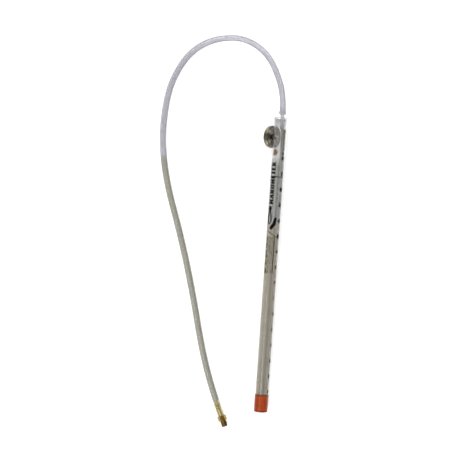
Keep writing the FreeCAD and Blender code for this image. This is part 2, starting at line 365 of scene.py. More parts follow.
def grain(tree, scale, stretch=(1, 1, 1), detail=3.0):
    """Noise from 0 to 1 over a piece, with scale in features per metre."""
    where = own_place(tree, stretch)
    return shader_node(tree, "ShaderNodeTexNoise", Vector=where, Scale=scale, Detail=detail).outputs["Fac"]


def ranged(tree, value, low, high, to_low=0.0, to_high=1.0, smooth=False):
    """Maps a value's range onto another."""
    settings = {"interpolation_type": "SMOOTHSTEP"} if smooth else None
    sockets = {"Value": value, "From_Min": low, "From_Max": high, "To_Min": to_low, "To_Max": to_high}
    return shader_node(tree, "ShaderNodeMapRange", settings, **sockets).outputs["Result"]


def mixed(tree, factor, first, second, blend="MIX"):
    """Two colours mixed, each a colour or another node's output."""
    made = tree.nodes.new("ShaderNodeMix")
    made.data_type = "RGBA"
    made.blend_type = blend
    for index, value in ((0, factor), (6, first), (7, second)):
        if isinstance(value, bpy.types.NodeSocket):
            tree.links.new(value, made.inputs[index])
        else:
            made.inputs[index].default_value = value
    return made.outputs[2]


def along(tree, direction):
    """How far a point of a piece is along a direction, in metres."""
    made = shader_node(tree, "ShaderNodeVectorMath", {"operation": "DOT_PRODUCT"})
    tree.links.new(own_coordinates(tree), made.inputs[0])
    made.inputs[1].default_value = direction
    return made.outputs["Value"]


def bumped(tree, shader, height, distance, strength):
    bump = shader_node(tree, "ShaderNodeBump", Height=height, Distance=distance, Strength=strength)
    tree.links.new(bump.outputs["Normal"], shader.inputs["Normal"])


def banded(tree, colour, bands):
    """A colour multiplied, past a stretch of a piece's own Y axis in metres, by each band's colour."""
    height = along(tree, (0, 1, 0))
    for start, end, change in bands:
        colour = mixed(tree, ranged(tree, height, start, end, smooth=True), colour, change, "MULTIPLY")
    return colour


def grey(value):
    return (value, value, value, 1.0)


def clear_plastic(
    name, lowest, tints, direction, streak_stretch, band_tone, roughness, haze_depth, clear_tone
):
    """Clear plastic with faint drawn streaks, whose tint changes at each height along a direction. Where a
    piece is marked as hazy it takes the tint and scatters some light, and past 1 the haze darkens, which
    paints shade along sides and edges and darkens some drawn lines."""
    made, tree, shader = new_material(name, IOR=1.45, Specular_IOR_Level=0.2)
    tint = lowest
    for height, colour in tints:
        low, high = height - TINT_BLEND_M, height + TINT_BLEND_M
        share = ranged(tree, along(tree, direction), low, high, smooth=True)
        tint = mixed(tree, share, tint, colour)
    streaks = grain(tree, 900.0, streak_stretch)
    tint = mixed(tree, ranged(tree, streaks, 0.35, 0.65, 0.0, 0.6), tint, grey(0.80), "MULTIPLY")
    bands = grain(tree, 330.0, streak_stretch, 1.0)
    tint = mixed(tree, ranged(tree, bands, 0.4, 0.62), tint, grey(band_tone), "MULTIPLY")
    clouds = grain(tree, 60.0)
    tint = mixed(tree, ranged(tree, clouds, 0.4, 0.7, 0.0, 0.35), tint, grey(0.88), "MULTIPLY")
    haze_and_shade = shader_node(tree, "ShaderNodeAttribute", {"attribute_name": "haze_and_shade"}).outputs["Fac"]
    # Past 1 the tint is darkened: painted shade along sides and edges, and darker drawn lines.
    tint = mixed(tree, ranged(tree, haze_and_shade, 1, 2), tint, grey(0.35), "MULTIPLY")
    tree.links.new(mixed(tree, haze_and_shade, clear_tone, tint), shader.inputs["Base Color"])
    tree.links.new(ranged(tree, haze_and_shade, 0, 1, 0.99, 1 - haze_depth), shader.inputs["Transmission Weight"])
    tree.links.new(ranged(tree, streaks, 0.3, 0.7, *roughness), shader.inputs["Roughness"])
    bumped(tree, shader, streaks, 0.00004, 0.5)
    return made


def hazed(made, amounts):
    """Marks how hazy a piece's surface is at each of its points: 0 is clear, 1 hazy and 2 dark, where past 1
    is painted shade along sides and edges and darker drawn lines.
    """
    haze_and_shade = made.data.attributes.new("haze_and_shade", "FLOAT", "POINT")
    haze_and_shade.data.foreach_set("value", amounts)
    return made


def vinyl_hose():
    """Soft clear vinyl with a faint bloom, olive grey low down and lavender grey above."""
    return clear_plastic(
        "clear_vinyl",
        lowest=(0.395, 0.38, 0.305, 1.0),
        tints=[(HOSE_TINT_M, (0.55, 0.54, 0.60, 1.0))],
        direction=UP_VIEW,
        streak_stretch=(1, 1, 1),
        band_tone=0.9,
        roughness=(0.12, 0.25),
        haze_depth=0.35,
        clear_tone=grey(0.98),
    )


def clear_acrylic(name="clear_acrylic"):
    """Rigid clear plastic with streaks along its length, in three tints up the tube."""
    neutral = (0.49, 0.50, 0.475, 1.0)
    cool = (0.68, 0.675, 0.72, 1.0)
    return clear_plastic(
        name,
        lowest=(0.54, 0.495, 0.41, 1.0),
        tints=list(zip(TUBE_TINTS_M, (neutral, cool))),
        direction=(0, 1, 0),
        streak_stretch=(1, 0.004, 1),
        band_tone=0.74,
        roughness=(0.06, 0.16),
        haze_depth=0.25,
        clear_tone=(0.74, 0.74, 0.725, 1.0),
    )


def label_plastic():
    """Thin film for printing on, almost wholly clear."""
    made, tree, shader = new_material("label_film", Alpha=0.02, Roughness=0.2)
    low, high = TUBE_TINTS_M[1] - TINT_BLEND_M, TUBE_TINTS_M[1] + TINT_BLEND_M
    share = ranged(tree, along(tree, (0, 1, 0)), low, high, smooth=True)
    tint = mixed(tree, share, (0.38, 0.37, 0.32, 1.0), (0.38, 0.38, 0.40, 1.0))
    clouds = grain(tree, 120.0)
    tint = mixed(tree, ranged(tree, clouds, 0.4, 0.7, 0.0, 0.4), tint, grey(0.85), "MULTIPLY")
    tree.links.new(tint, shader.inputs["Base Color"])
    bumped(tree, shader, grain(tree, 300.0, (1, 0.1, 1)), 0.00003, 0.4)
    return made


def printing_ink(name, tone, worn_tone):
    """Dull ink with worn patches."""
    made, tree, shader = new_material(name, Roughness=0.7, Specular_IOR_Level=0.02)
    patches = ranged(tree, grain(tree, 1800.0), 0.4, 0.75)
    tree.links.new(mixed(tree, patches, tone, worn_tone), shader.inputs["Base Color"])
    return made


def orange_vinyl(name, tone, light_tone, bands=()):
    """Dipped orange vinyl, slightly glossy, with bands along its axis where given: on the cap these are
    painted shade and painted highlights.
    """
    made, tree, shader = new_material(name, Subsurface_Weight=0.1, Specular_IOR_Level=0.2)
    shader.inputs["Subsurface Scale"].default_value = 0.002
    shader.inputs["Subsurface Radius"].default_value = (1.0, 0.3, 0.1)
    clouds = grain(tree, 160.0)
    colour = banded(tree, mixed(tree, ranged(tree, clouds, 0.35, 0.65), tone, light_tone), bands)
    tree.links.new(colour, shader.inputs["Base Color"])
    fine = grain(tree, 2500.0)
    tree.links.new(ranged(tree, clouds, 0.3, 0.7, 0.28, 0.42), shader.inputs["Roughness"])
    bumped(tree, shader, fine, 0.00002, 0.35)
    return made


def turned_metal(name, tone, dark_tone, roughness, bands=()):
    """Machined metal: fine rings round its Y axis, patchy tarnish and darker bands along its axis, where
    given.
    """
    made, tree, shader = new_material(name, Metallic=1.0)
    tarnish = ranged(tree, grain(tree, 220.0, detail=6.0), 0.4, 0.7)
    colour = banded(tree, mixed(tree, tarnish, tone, dark_tone), bands)
    tree.links.new(colour, shader.inputs["Base Color"])
    tree.links.new(ranged(tree, tarnish, 0, 1, *roughness), shader.inputs["Roughness"])
    rings = grain(tree, 4000.0, (0.02, 1, 0.02), 1.0)
    bumped(tree, shader, rings, 0.00001, 0.4)
    return made


def ferrite_stone():
    made, tree, shader = new_material("ferrite", Roughness=0.75)
    specks = grain(tree, 3000.0, detail=8.0)
    tone = mixed(tree, ranged(tree, specks, 0.35, 0.7), grey(0.02), grey(0.055))
    tree.links.new(tone, shader.inputs["Base Color"])
    bumped(tree, shader, specks, 0.00005, 0.6)
    return made


def soft_rubber():
    made, tree, shader = new_material("black_rubber", Roughness=0.6)
    specks = grain(tree, 4000.0)
    tree.links.new(mixed(tree, specks, grey(0.012), grey(0.03)), shader.inputs["Base Color"])
    bumped(tree, shader, specks, 0.00002, 0.4)
    return made


def pale_floor():
    made, tree, shader = new_material("pale_floor", Roughness=0.9)
    tone = mixed(tree, grain(tree, 3.0), grey(0.88), grey(0.90))
    tree.links.new(tone, shader.inputs["Base Color"])
    return made


# ---------------------------------------------------------------- hose

def hose_line():
    """The hose's centre line: a smooth curve with the route's points as its control points."""
    curve = bpy.data.curves.new("hose_line", "CURVE")
    curve.dimensions = "3D"
    curve.resolution_u = 24
    spline = curve.splines.new("NURBS")
    spline.points.add(len(HOSE_ROUTE_M) - 1)
    for point, place in zip(spline.points, HOSE_ROUTE_M):
        point.co = (*place, 1.0)
    spline.order_u = 3
    spline.use_endpoint_u = True
    guide = bpy.data.objects.new("hose_line", curve)
    bpy.context.scene.collection.objects.link(guide)
    bpy.context.view_layer.update()
    mesh = bpy.data.meshes.new_from_object(guide)
    points = [v.co.copy() for v in mesh.vertices]
    bpy.data.objects.remove(guide)
    bpy.data.curves.remove(curve)
    return points


def swell(distance):
    """How much wider the hose is at a distance from its first end, over the spigot's barb."""
    return HOSE_SWELL * math.exp(-((distance - HOSE_SWELL_AT) / HOSE_SWELL_SPREAD) ** 2)


def hose(material):
    """The hose, and the centre line that it follows."""
    path = hose_line()
    points = [p / MM for p in path]
    headings = []
    for i in range(len(points)):
        before = points[max(i - 1, 0)]
        after = points[min(i + 1, len(points) - 1)]
        headings.append((after - before).normalized())
    side = headings[0].cross(Vector((0, 0, 1))).normalized()
    reach = [0.0]
    for here, ahead in zip(points, points[1:]):
        reach.append(reach[-1] + (ahead - here).length)
    stem_end = reach[-1] - STEM_LENGTH
    outside = []
    inside = []
    for distance, here, heading in zip(reach, points, headings):
        side = (side - heading * side.dot(heading)).normalized()
        across = heading.cross(side)
        gripping = distance > stem_end + 1.0
        bore = STEM_ROOT_R - HOSE_GRIP if gripping else HOSE_BORE_R + swell(distance)
        for rings, size in ((outside, HOSE_R + swell(distance)), (inside, bore)):
            unit = circle(1.0, 0.0, HOSE_STEPS)
            rings.append([tuple(here + side * (x * size) + across * (z * size)) for x, _, z in unit])
    skin, faces = lofted(outside + inside[::-1], closed=True)
    made = piece("vinyl_hose", skin, faces, material, sharp_deg=50.0)
    amounts = []
    for distance in reach + reach[::-1]:
        bloom = float(distance < stem_end + 2.0)
        # A ring of painted shade on the sides of the end's swell, which also clears the dullness from its
        # middle.
        ring = math.exp(-((distance - HOSE_SHADE_RING_AT) / HOSE_SHADE_RING_SPREAD) ** 2)
        centre = bloom * (HOSE_DULL - HOSE_SHADE_RING_CLEARS * ring)
        # Painted shade along the hose's sides.
        edge = bloom * HOSE_SIDE_PAINTED_SHADE + ring
        amounts += [centre + edge * abs(x) ** 4 for x, _, _ in circle(1.0, 0.0, HOSE_STEPS)]
    return hazed(made, amounts), path


# ---------------------------------------------------------------- brass fitting

HEX_FLATS = 12.7
HEX_LENGTH = 8.0
HEX_CHAMFER_R = 6.7
HEX_CHAMFER = 0.9
HEX_EDGE_R = 7.15
THREAD_R = 5.14
THREAD_LENGTH = 10.5
THREAD_CHAMFER = 0.8
THREAD_PITCH = 0.94
THREAD_DEPTH = 0.55
THREAD_TURN_STEPS = 12
FITTING_BORE_R = 2.3
FITTING_BORE_CHAMFER = 0.3
STEM_LENGTH = 27.4
STEM_ROOT_R = 2.95
STEM_CHAMFER = 0.2
BARB_PITCH = 5.0
BARB_COUNT = 4
# A barb's radius at each height above its crest
BARB_PROFILE = [(3.35, -0.15), (3.27, 0.0), (STEM_ROOT_R, 0.05)]
FITTING_STEPS = 120


def hexagon_radius(angle, flats, limit):
    """The radius of a hexagon at an angle, kept within a turned limit."""
    turn = math.degrees(angle) % 60.0 - 30.0
    return min(flats / 2 / math.cos(math.radians(turn)), limit)


def thread_radius(angle, height):
    """The radius of a right-hand thread at an angle and a height above the hexagon. Its ridge grows over
    the first turn, and its tip is chamfered."""
    phase = (height / THREAD_PITCH + angle / (2 * math.pi)) % 1.0
    ridge = min(1.0, max(0.0, 1.25 - abs(4.0 * phase - 2.0)))
    start = min(1.0, height / THREAD_PITCH)
    tip = THREAD_R - THREAD_CHAMFER + (THREAD_LENGTH - height)
    return min(THREAD_R - THREAD_DEPTH + THREAD_DEPTH * ridge * start, tip)


def shaped_ring(radius_at, height, count):
    """A ring whose radius depends on the angle."""
    angles = [2 * math.pi * i / count for i in range(count)]
    return [(radius_at(a) * math.cos(a), height, radius_at(a) * math.sin(a)) for a in angles]


def fitting_profile():
    """The fitting's rings, from the stem's end to the thread's tip."""
    outline = [
        (FITTING_BORE_R, -STEM_LENGTH),
        (STEM_ROOT_R - STEM_CHAMFER, -STEM_LENGTH),
        (STEM_ROOT_R, -STEM_LENGTH + STEM_CHAMFER),
    ]
    for i in range(BARB_COUNT):
        crest = -STEM_LENGTH + (i + 1) * BARB_PITCH
        outline += [(radius, crest + rise) for radius, rise in BARB_PROFILE]
    outline.append((STEM_ROOT_R, 0.0))
    rings = [circle(radius, height, FITTING_STEPS) for radius, height in outline]
    steps = 8
    levels = [HEX_CHAMFER * k / steps for k in range(steps + 1)]
    levels += [HEX_LENGTH - level for level in reversed(levels)]
    for level in levels:
        depth = min(level, HEX_LENGTH - level)
        limit = min(HEX_EDGE_R, HEX_CHAMFER_R + depth * (HEX_EDGE_R - HEX_CHAMFER_R) / HEX_CHAMFER)
        rings.append(shaped_ring(lambda a, r=limit: hexagon_radius(a, HEX_FLATS, r), level, FITTING_STEPS))
    count = round(THREAD_LENGTH / THREAD_PITCH * THREAD_TURN_STEPS)
    for k in range(count + 1):
        height = THREAD_LENGTH * k / count
        level = HEX_LENGTH + height
        rings.append(shaped_ring(lambda a, h=height: thread_radius(a, h), level, FITTING_STEPS))
    tip = HEX_LENGTH + THREAD_LENGTH
    rings.append(circle(FITTING_BORE_R + FITTING_BORE_CHAMFER, tip, FITTING_STEPS))
    rings.append(circle(FITTING_BORE_R, tip - FITTING_BORE_CHAMFER, FITTING_STEPS))
    return rings


def hose_fitting(material):
    """The brass fitting, with its stem in the hose's last stretch and its thread outside."""
    points, faces = lofted(fitting_profile(), closed=True)
    end = Vector(HOSE_ROUTE_M[-1])
    place = placed(end, end - Vector(HOSE_ROUTE_M[-2]))
    return piece("brass_fitting", points, faces, material, place, sharp_deg=28.0)


# ---------------------------------------------------------------- tube and plug

MAGNET_Y = 444.2
VENT_Y = 419.8
VENT_HOLE_R = 3.3
SCREW_HOLE_R = 2.2
WALL_DRILL = (6.0, 14.0)
FLANGE_R = 10.5
FLANGE_THICK = 3.0
PLUG_R = 9.03
PLUG_DEPTH = 5.0
SOCKET_DEPTH = 4.0
BOSS_R = 3.75
BOSS_RISE = 4.2
SPIGOT_R = 3.175
SPIGOT_LENGTH = 10.0
SPIGOT_TIP_R = 2.875
SPIGOT_BARB_R = 3.75
SPIGOT_BARB_RISE = 2.0
# Haze: at heights up the tube, in drawn lines by their angle, width and strength, and on each part. Past 1
# it darkens, as painted shade along sides and edges and as darker drawn lines.
TUBE_HAZE = [(TUBE_FOOT, 0.8), (398.0, 0.8), (412.0, 0.03), (460.0, 0.0), (465.0, 0.5), (TUBE_TOP, 0.5)]
# Lines near 12 and 64 degrees are painted shade along the small tube's edges; the others are drawn streaks.
DRAWN_LINES_AND_EDGE_SHADE = [
    (12.0, 8.0, 1.0),
    (-21.0, 9.0, 0.6),
    (64.0, 12.0, 0.7),
    (-46.0, 5.0, 0.2),
    (-66.0, 12.0, 0.6),
]
# Painted shade along the tube's sides.
TUBE_SIDE_PAINTED_SHADE = 0.5
MEASURE_HAZE = 0.25
# Painted shade along the small tube's sides.
MEASURE_SIDE_PAINTED_SHADE = 1.1
PLUG_HAZE = 0.4


def back_place(direction, height):
    """A place on the tube's axis, with Y pointing along a direction out of the tube's back."""
    return placed(GAUGE @ Vector((0, height * MM, 0)), direction)


MAGNET = back_place(mount("magnet_face")["axis"], MAGNET_Y)
VENT = back_place(joint_axis("vent_pull"), VENT_Y)


def drill(radius, low, high, place, shift_x=0.0):
    """A plain cylinder to cut with."""
    corners = [(0, low, 0), (radius, low, 0), (radius, high, 0), (0, high, 0)]
    return turned("drill", corners, None, place, shift_x=shift_x)


def tube_haze(point):
    """How hazy the tube is at a point: clearest round the magnet and dull along drawn lines, with painted
    shade along its sides and along the small tube's edges.
    """
    amount = TUBE_HAZE[-1][1]
    for (low, first), (high, last) in reversed(list(zip(TUBE_HAZE, TUBE_HAZE[1:]))):
        if point.y <= high:
            amount = first + (last - first) * (point.y - low) / (high - low)
    turn = math.degrees(math.atan2(point.x, point.z))
    # Painted shade near the small tube's edges, and drawn streaks elsewhere.
    lines = sum(depth * math.exp(-((turn - at) / wide) ** 2) for at, wide, depth in DRAWN_LINES_AND_EDGE_SHADE)
    # Painted shade along the tube's sides.
    side = abs(point.x / TUBE_R) ** 8
    return amount * (1 + lines + TUBE_SIDE_PAINTED_SHADE * side)


def outer_tube(material):
    """The tube, with rings of points where its haze changes, and holes for the screw and the vent plug."""
    levels = [y for y, _ in TUBE_HAZE[1:-1]]
    corners = [(BORE_R, TUBE_FOOT, 0.2), (TUBE_R, TUBE_FOOT, 0.2)]
    corners += [(TUBE_R, y, 0) for y in levels]
    corners += [(TUBE_R, TUBE_TOP, 0.2), (BORE_R, TUBE_TOP, 0.2)]
    corners += [(BORE_R, y, 0) for y in reversed(levels)]
    tube = turned("clear_tube", corners, material, closed=True, count=128)
    carved(tube, [drill(SCREW_HOLE_R, *WALL_DRILL, MAGNET), drill(VENT_HOLE_R, *WALL_DRILL, VENT)])
    return hazed(tube, [tube_haze(v.co / MM) for v in tube.data.vertices])


def label_film(material):
    """A thin film round most of the tube, bare along the back."""
    first, last = LABEL_DEG
    steps = 96
    angles = [math.radians(90 - first - (last - first) * i / steps) for i in range(steps + 1)]
    rings = []
    for height in LABEL_Y:
        ring = [(FILM_R[1] * math.cos(a), height, FILM_R[1] * math.sin(a)) for a in angles]
        ring += [(FILM_R[0] * math.cos(a), height, FILM_R[0] * math.sin(a)) for a in reversed(angles)]
        rings.append(ring)
    points, faces = lofted(rings, closed=False)
    count = len(rings[0])
    for low in (0, count):
        for i in range(steps):
            faces.append([low + i, low + i + 1, low + count - 2 - i, low + count - 1 - i])
    return piece("label_film", points, faces, material, GAUGE, sharp_deg=40.0)


def measuring_path():
    """The small tube's centre line: up the right-hand side, then over to the spigot."""
    low, high = MEASURE_BEND
    line = [(MEASURE_X, MEASURE_FOOT), (MEASURE_X, low)]
    steps = 24
    for k in range(steps + 1):
        share = k / steps
        ease = share * share * (3 - 2 * share)
        line.append((MEASURE_X + (SPIGOT_X - MEASURE_X) * ease, low + (high - low) * share))
    line.append((SPIGOT_X, MEASURE_TOP))
    return line


def measuring_tube(material):
    """The small tube inside, with a slanted foot."""
    line = measuring_path()
    outside = []
    inside = []
    for i, (x, y) in enumerate(line):
        before = Vector(line[max(i - 1, 0)])
        after = Vector(line[min(i + 1, len(line) - 1)])
        lean = math.atan2(after.x - before.x, after.y - before.y)
        for rings, radius in ((outside, MEASURE_R), (inside, MEASURE_BORE_R)):
            ring = []
            for across, _, z in circle(radius, 0.0, MEASURE_STEPS):
                slant = MEASURE_FOOT_RISE * (MEASURE_R - across) / (2 * MEASURE_R) if i == 0 else 0.0
                ring.append((x + across * math.cos(lean), y - across * math.sin(lean) + slant, z))
            rings.append(ring)
    points, faces = lofted(outside + inside[::-1], closed=True)
    made = piece("measuring_tube", points, faces, material, GAUGE, sharp_deg=45.0)
    # Painted shade along the small tube's sides, as haze past 1.
    sides = [abs(across) ** 4 for across, _, _ in circle(1.0, 0.0, MEASURE_STEPS)]
    return hazed(made, [MEASURE_HAZE + MEASURE_SIDE_PAINTED_SHADE * side for side in sides] * (2 * len(line)))


def top_plug(material):
    """The plug: a flange, a boss and a barbed spigot over a socket for the small tube."""
    seat = LENGTH - FLANGE_THICK
    corners = [
        (0, seat - PLUG_DEPTH, 0),
        (PLUG_R, seat - PLUG_DEPTH, 0.4),
        (PLUG_R, seat, 0),
        (FLANGE_R, seat, 0.25),
        (FLANGE_R, LENGTH - 0.8, 1.0),
        (0, LENGTH, 0),
    ]
    plug = turned("top_plug", corners, material, count=128)
    shoulder = LENGTH + BOSS_RISE
    tip = shoulder + SPIGOT_LENGTH
    corners = [
        (0, seat, 0),
        (BOSS_R + 0.6, seat, 0),
        (BOSS_R + 0.6, LENGTH - 0.4, 0),
        (BOSS_R, LENGTH + 0.5, 0.5),
        (BOSS_R, shoulder, 0.5),
        (SPIGOT_R, shoulder, 0),
        (SPIGOT_R, shoulder + SPIGOT_BARB_RISE, 0),
        (SPIGOT_BARB_R, shoulder + SPIGOT_BARB_RISE, 0.2),
        (SPIGOT_TIP_R, tip, 0.2),
        (0, tip, 0),
    ]
    spigot = turned("spigot", corners, material, shift_x=SPIGOT_X)
    plug = carved(plug, [spigot], "UNION")
    low = seat - PLUG_DEPTH
    socket = drill(MEASURE_R + SLIDE_GAP, low - 1, low + SOCKET_DEPTH, GAUGE, SPIGOT_X)
    bore = drill(MEASURE_BORE_R, low - 1, tip + 1, GAUGE, SPIGOT_X)
    carved(plug, [socket, bore])
    return hazed(plug, [PLUG_HAZE] * len(plug.data.vertices))


# ---------------------------------------------------------------- cap, vent and magnet

CAP_R = 11.05
CAP_BORE_R = 10.35
CAP_LENGTH = 29.0
CAP_FLOOR = 1.8
CUP_R = 18.25
CUP_BACK = 11.8
CUP_FACE = 18.6
CUP_WALL = 1.5
# Each groove in the cup's back: its inner and outer radius, slope, depth, and rounding at its lips and foot
CUP_GROOVES = [(9.2, 10.0, 0.2, 0.15, 0.2, 0.1), (13.2, 15.0, 0.4, 0.4, 0.3, 0.2)]
RING_HOLE_R = 6.0
VENT_HEAD_R = 5.2
VENT_HEAD = (10.6, 11.7)
VENT_STEM_R = 3.0
VENT_TAPER = 8.2
VENT_TIP_R = 2.7
VENT_TIP = 5.8
VENT_HOLLOW_R = 1.6
SPACER_R = 4.3
SCREW_R = 2.0
SCREW_ROOT_R = 1.65
SCREW_TIP_R = 1.6
SCREW_TIP = 4.6
# Where the screw's thread starts, and its pitch
SCREW_THREAD = (5.0, 0.7)
SCREW_NECK_R = 1.9
SCREW_HEAD_R = 4.0
SCREW_HEAD_THICK = 2.6
CROSS_DEPTH = 1.3
CROSS_HALF_LENGTH = 2.0
CROSS_HALF_WIDTH = 0.5
NUT = (5.55, 8.15)
NUT_FLATS = 7.0
NUT_EDGE_R = 4.05
NUT_CHAMFER_R = 3.7
NUT_CHAMFER = 0.35
NUT_BORE_R = 2.02
NUT_MOUTH_R = 2.4
NUT_MOUTH = 0.3


def bottom_cap(material):
    corners = [
        (0, 0, 0),
        (6.5, 0, 8.0),
        (CAP_R, 0.9, 1.5),
        (CAP_R, CAP_LENGTH - 1.6, 0.3),
        (CAP_R + 0.2, CAP_LENGTH - 1.3, 0.15),
        (CAP_R + 0.2, CAP_LENGTH, 0.25),
        (CAP_BORE_R, CAP_LENGTH, 0.1),
        (CAP_BORE_R, CAP_FLOOR, 0.3),
        (0, CAP_FLOOR, 0),
    ]
    return turned("bottom_cap", corners, material, count=128)


def vent_plug(material):
    """A push-in plug with a flat head and a hollow, tapered stem."""
    seat, top = VENT_HEAD
    corners = [
        (0, top, 0),
        (VENT_HEAD_R, top, 0.7),
        (VENT_HEAD_R, seat, 0.2),
        (VENT_STEM_R, seat, 0.1),
        (VENT_STEM_R, VENT_TAPER, 0.5),
        (VENT_TIP_R, VENT_TIP, 0.25),
        (VENT_HOLLOW_R, VENT_TIP, 0.2),
        (VENT_HOLLOW_R, seat, 0.4),
        (0, seat, 0),
    ]
    return turned("vent_plug", corners, material, VENT)


def magnet_cup(material):
    """A pressed and plated cup, with two rolled grooves in its back."""
    corners = [(SCREW_HOLE_R, CUP_BACK, 0.15)]
    for inner, outer, slope, depth, lip, foot in CUP_GROOVES:
        corners += [
            (inner, CUP_BACK, lip),
            (inner + slope, CUP_BACK + depth, foot),
            (outer - slope, CUP_BACK + depth, foot),
            (outer, CUP_BACK, lip),
        ]
    corners += [
        (CUP_R, CUP_BACK, 1.4),
        (CUP_R, CUP_FACE, 0.4),
        (CUP_R - CUP_WALL, CUP_FACE, 0.2),
        (CUP_R - CUP_WALL, CUP_BACK + CUP_WALL, 0.3),
        (SCREW_HOLE_R, CUP_BACK + CUP_WALL, 0.1),
    ]
    return turned("magnet_cup", corners, material, MAGNET, closed=True, count=160)


def magnet_ring(material):
    """The ferrite ring inside the cup."""
    outer = CUP_R - CUP_WALL - 0.2
    low = CUP_BACK + CUP_WALL + SLIDE_GAP
    high = CUP_FACE - 0.2
    corners = [(RING_HOLE_R, low, 0.2), (outer, low, 0.2), (outer, high, 0.5), (RING_HOLE_R, high, 0.5)]
    return turned("magnet_ring", corners, material, MAGNET, closed=True, count=128)


def magnet_spacer(material):
    """A rubber washer, shaped to the tube where it meets it."""
    low = TUBE_R - 1.0
    top = CUP_BACK - SLIDE_GAP
    corners = [(SCREW_HOLE_R, low, 0), (SPACER_R, low, 0), (SPACER_R, top, 0.25), (SCREW_HOLE_R, top, 0.1)]
    spacer = turned("magnet_spacer", corners, material, MAGNET, closed=True)
    return carved(spacer, [drill(TUBE_R + SLIDE_GAP, 0, LENGTH, GAUGE)])


def magnet_screw(material):
    """A cross-head screw with a rolled thread between the cup and the nut."""
    seat = CUP_BACK + CUP_WALL
    top = seat + SCREW_HEAD_THICK
    corners = [(0, SCREW_TIP, 0), (SCREW_TIP_R, SCREW_TIP, 0.2)]
    start, pitch = SCREW_THREAD
    for k in range(int((seat - start - 0.2) / pitch)):
        low = start + k * pitch
        corners += [(SCREW_ROOT_R, low, 0), (SCREW_R, low + pitch * 0.4, 0), (SCREW_R, low + pitch * 0.6, 0)]
    corners += [(SCREW_NECK_R, seat, 0), (SCREW_HEAD_R, seat, 0.2), (SCREW_HEAD_R, top, 1.4), (0, top, 0)]
    screw = turned("magnet_screw", corners, material, MAGNET)
    slots = []
    for turn in (0, 90):
        points = []
        for rise in (0.0, CROSS_DEPTH + 1.0):
            y = top - CROSS_DEPTH + rise
            long = CROSS_HALF_LENGTH
            wide = CROSS_HALF_WIDTH + 0.1 * rise
            points += [(-long, y, -wide), (long, y, -wide), (long, y, wide), (-long, y, wide)]
        faces = [(0, 1, 2, 3), (4, 5, 6, 7), (0, 1, 5, 4), (1, 2, 6, 5), (2, 3, 7, 6), (3, 0, 4, 7)]
        spin = Matrix.Rotation(math.radians(turn), 4, "Y")
        slots.append(piece("slot", points, faces, None, MAGNET @ spin))
    return carved(screw, slots)


def magnet_nut(material):
    """A hexagon nut with chamfered corners and a plain bore."""
    low, high = NUT
    count = 96
    rings = [circle(NUT_BORE_R, low + NUT_MOUTH, count), circle(NUT_MOUTH_R, low, count)]
    levels = [
        (low, NUT_CHAMFER_R),
        (low + NUT_CHAMFER, NUT_EDGE_R),
        (high - NUT_CHAMFER, NUT_EDGE_R),
        (high, NUT_CHAMFER_R),
    ]
    for level, limit in levels:
        rings.append(shaped_ring(lambda a, r=limit: hexagon_radius(a, NUT_FLATS, r), level, count))
    rings += [circle(NUT_MOUTH_R, high, count), circle(NUT_BORE_R, high - NUT_MOUTH, count)]
    points, faces = lofted(rings, closed=True)
    return piece("magnet_nut", points, faces, material, MAGNET, sharp_deg=28.0)


# ---------------------------------------------------------------- printing

# Wide capitals: each has its width in mm and its strokes, as start and end in parts of its width and height,
# and thickness in mm. Upright strokes are heavy and the others light.
HEAVY = 2.9
MEDIUM = 2.2
LIGHT = 1.1
LETTER_TALL = 7.2
LETTER_GAP = 2.3
LETTER_DEG = -16.0
WIDE_LETTERS = {
    "M": (6.4, [
        (0.15, 0, 0.15, 1, HEAVY),
        (0.85, 0, 0.85, 1, HEAVY),
        (0.2, 1, 0.5, 0.3, LIGHT),
        (0.5, 0.3, 0.8, 1, LIGHT),
    ]),
    "A": (5.6, [(0.0, 0, 0.5, 1, MEDIUM), (1.0, 0, 0.5, 1, HEAVY), (0.25, 0.35, 0.75, 0.35, LIGHT)]),
    "N": (5.4, [(0.15, 0, 0.15, 1, MEDIUM), (0.85, 0, 0.85, 1, MEDIUM), (0.15, 1, 0.85, 0, MEDIUM)]),
    "O": (6.0, [
        (0.14, 0.2, 0.14, 0.8, HEAVY),
        (0.86, 0.2, 0.86, 0.8, HEAVY),
        (0.14, 0.75, 0.4, 0.93, MEDIUM),
        (0.35, 0.93, 0.65, 0.93, LIGHT),
        (0.6, 0.93, 0.86, 0.75, MEDIUM),
        (0.14, 0.25, 0.4, 0.07, MEDIUM),
        (0.35, 0.07, 0.65, 0.07, LIGHT),
        (0.6, 0.07, 0.86, 0.25, MEDIUM),
    ]),
    "E": (4.4, [
        (0.2, 0, 0.2, 1, HEAVY),
        (0, 0.05, 1, 0.05, LIGHT),
        (0, 0.5, 0.8, 0.5, LIGHT),
        (0, 0.95, 1, 0.95, LIGHT),
    ]),
    "T": (4.2, [(0.5, 0, 0.5, 1, HEAVY), (0, 0.95, 1, 0.95, LIGHT)]),
    "R": (5.4, [
        (0.2, 0, 0.2, 1, HEAVY),
        (0.2, 0.95, 0.8, 0.95, LIGHT),
        (0.2, 0.5, 0.8, 0.5, LIGHT),
        (0.85, 0.52, 0.85, 0.93, MEDIUM),
        (0.6, 0.5, 0.9, 0, MEDIUM),
    ]),
}


